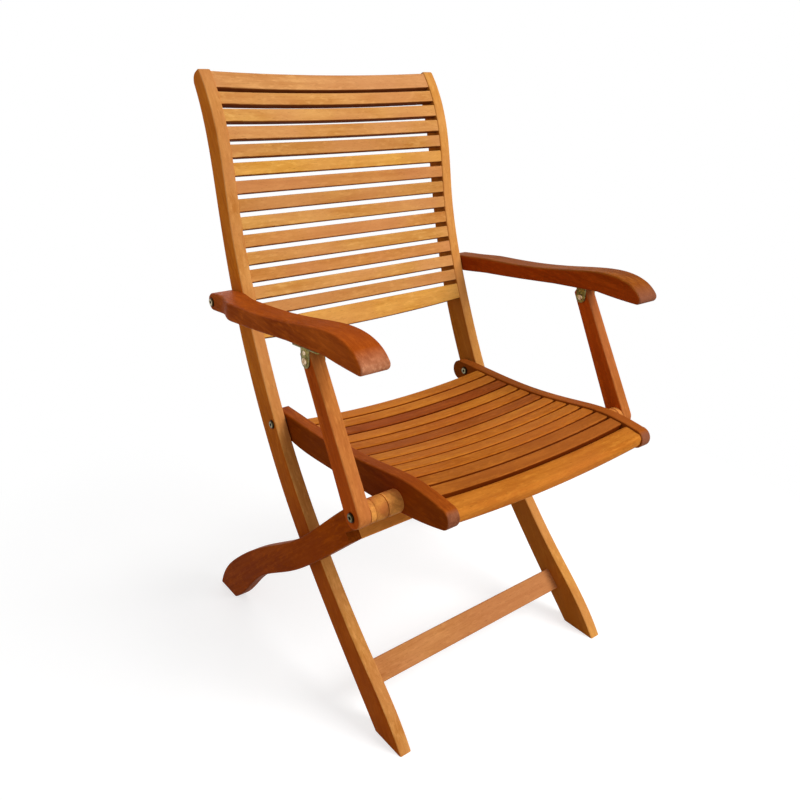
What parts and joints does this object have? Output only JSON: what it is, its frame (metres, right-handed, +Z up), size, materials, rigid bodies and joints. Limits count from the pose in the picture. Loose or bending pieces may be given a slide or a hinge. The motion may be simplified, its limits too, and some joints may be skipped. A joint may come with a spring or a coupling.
{
  "type": "folding wooden armchair",
  "caption": "Folding wooden armchair with bowed slatted back, dished slatted seat, armrests on pivoting posts and crossed legs that fold flat.",
  "frame": {"origin": "on the floor, at the middle of the opened chair's outline", "axes": "+Z up, -Y the way a sitter faces, +X to the sitter's left"},
  "size_m": [0.5758, 0.6078, 0.9419],
  "materials": {
    "frame_wood": "oiled, satin",
    "slat_wood": "oiled, satin",
    "plated_steel": "zinc plated",
    "yellow_plated_steel": "yellow zinc plated"
  },
  "bodies": {
    "back_frame": {"back_stile_left": "frame_wood", "back_stile_right": "frame_wood", "front_stretcher": "frame_wood", "back_slat_01": "slat_wood", "back_slat_02": "slat_wood", "back_slat_03": "slat_wood", "back_slat_04": "slat_wood", "back_slat_05": "slat_wood", "back_slat_06": "slat_wood", "back_slat_07": "slat_wood", "back_slat_08": "slat_wood", "back_slat_09": "slat_wood", "back_slat_10": "slat_wood", "back_slat_11": "slat_wood", "back_slat_12": "slat_wood", "back_slat_13": "slat_wood", "back_slat_14": "slat_wood", "back_slat_15": "slat_wood", "seat_pivot_bolts": "plated_steel", "seat_pivot_nuts": "plated_steel", "arm_pivot_bolts": "plated_steel", "arm_pivot_nuts": "plated_steel", "arm_pivot_washers": "plated_steel", "stop_pegs": "plated_steel"},
    "seat": {"seat_rail_left": "frame_wood", "seat_rail_right": "frame_wood", "seat_front_slat": "slat_wood", "seat_slat_01": "slat_wood", "seat_slat_02": "slat_wood", "seat_slat_03": "slat_wood", "seat_slat_04": "slat_wood", "seat_slat_05": "slat_wood", "seat_slat_06": "slat_wood", "seat_slat_07": "slat_wood", "seat_slat_08": "slat_wood", "seat_slat_09": "slat_wood", "seat_slat_10": "slat_wood", "seat_slat_11": "slat_wood", "seat_slat_12": "slat_wood", "front_pivot_bolts": "plated_steel", "front_pivot_nuts": "plated_steel", "front_pivot_spacers": "frame_wood", "front_pivot_discs": "frame_wood", "seat_pivot_washers": "plated_steel"},
    "rear_legs": {"rear_leg_left": "frame_wood", "rear_leg_right": "frame_wood", "rear_leg_stretcher": "frame_wood"},
    "armrest_left": {"armrest_left": "frame_wood", "arm_bracket_left": "yellow_plated_steel", "arm_hinge_pin_left": "yellow_plated_steel", "bracket_screws_left": "yellow_plated_steel"},
    "arm_post_left": {"arm_post_left": "frame_wood"},
    "armrest_right": {"armrest_right": "frame_wood", "arm_bracket_right": "yellow_plated_steel", "arm_hinge_pin_right": "yellow_plated_steel", "bracket_screws_right": "yellow_plated_steel"},
    "arm_post_right": {"arm_post_right": "frame_wood"}
  },
  "joints": [
    {"name": "seat_fold", "type": "hinge", "parent": "back_frame", "child": "seat", "pos_m": [0, 0.10207, 0.417], "axis": [-1, 0, 0], "range_deg": [0, 100]},
    {"name": "rear_leg_fold", "type": "hinge", "parent": "seat", "child": "rear_legs", "pos_m": [0, -0.19793, 0.413], "axis": [1, 0, 0], "range_deg": [0, 31]},
    {"name": "armrest_fold_left", "type": "hinge", "parent": "back_frame", "child": "armrest_left", "pos_m": [0.2425, 0.20407, 0.603], "axis": [-1, 0, 0], "range_deg": [0, 100]},
    {"name": "arm_post_fold_left", "type": "hinge", "parent": "seat", "child": "arm_post_left", "pos_m": [0.2425, -0.19793, 0.413], "axis": [1, 0, 0], "range_deg": [0, 100]},
    {"name": "armrest_fold_right", "type": "hinge", "parent": "back_frame", "child": "armrest_right", "pos_m": [-0.2425, 0.20407, 0.603], "axis": [-1, 0, 0], "range_deg": [0, 100]},
    {"name": "arm_post_fold_right", "type": "hinge", "parent": "seat", "child": "arm_post_right", "pos_m": [-0.2425, -0.19793, 0.413], "axis": [1, 0, 0], "range_deg": [0, 100]}
  ],
  "couplings": [
    {"joint": "rear_leg_fold", "follows": "seat_fold", "ratio": 0.31},
    {"joint": "armrest_fold_left", "follows": "seat_fold", "ratio": 1},
    {"joint": "arm_post_fold_left", "follows": "seat_fold", "ratio": 1},
    {"joint": "armrest_fold_right", "follows": "seat_fold", "ratio": 1},
    {"joint": "arm_post_fold_right", "follows": "seat_fold", "ratio": 1}
  ]
}
